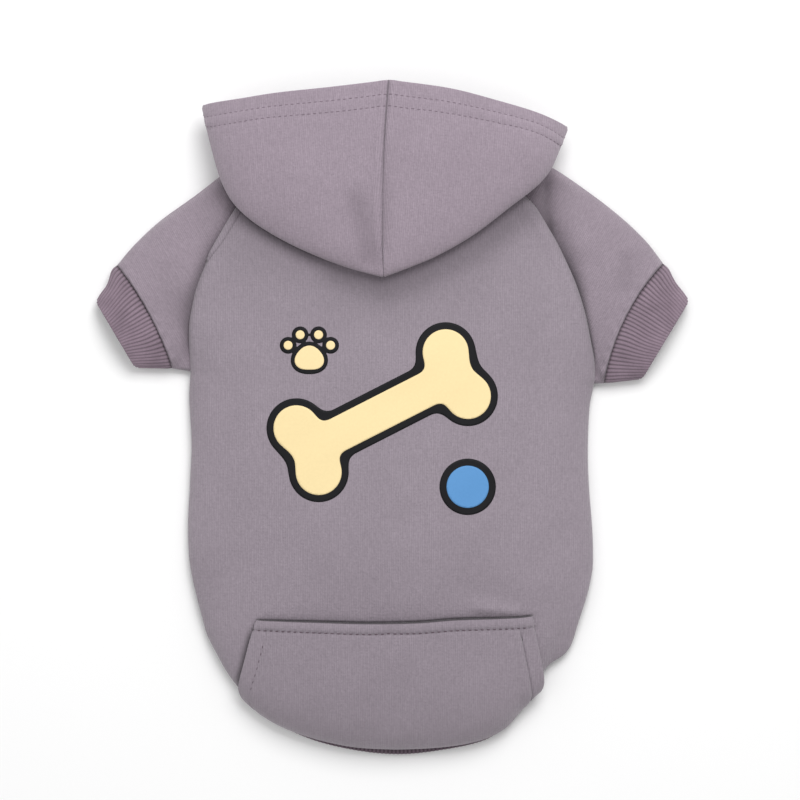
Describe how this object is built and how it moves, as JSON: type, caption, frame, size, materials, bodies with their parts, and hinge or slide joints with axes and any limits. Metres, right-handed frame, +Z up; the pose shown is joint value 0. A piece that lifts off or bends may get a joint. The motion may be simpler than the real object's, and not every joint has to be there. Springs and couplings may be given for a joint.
{
  "type": "dog hoodie",
  "caption": "Short-sleeved hooded knit garment for a dog, laid flat back up, with ribbed cuffs, a ribbed hem band and a patch pocket.",
  "frame": {"origin": "on the surface that the garment lies on, below the middle of its outline", "axes": "+Y towards the head, +X to the right seen from above, +Z up from the surface, out of the garment's back"},
  "size_m": [0.3292, 0.37, 0.0404],
  "materials": {
    "body_fabric": "brushed jersey, mauve grey",
    "sleeve_fabric": "brushed jersey, mauve grey",
    "hood_fabric": "brushed jersey, mauve grey",
    "pocket_fabric": "brushed jersey, mauve grey",
    "rib_fabric": "ribbed knit, darker mauve grey"
  },
  "bodies": {
    "root": {"back_panel": "body_fabric", "belly_panel": "body_fabric", "sleeve_left": "sleeve_fabric", "sleeve_right": "sleeve_fabric", "cuff_left": "rib_fabric", "cuff_right": "rib_fabric", "waistband": "rib_fabric", "pocket": "pocket_fabric", "hood_left": "hood_fabric", "hood_right": "hood_fabric"}
  },
  "joints": []
}
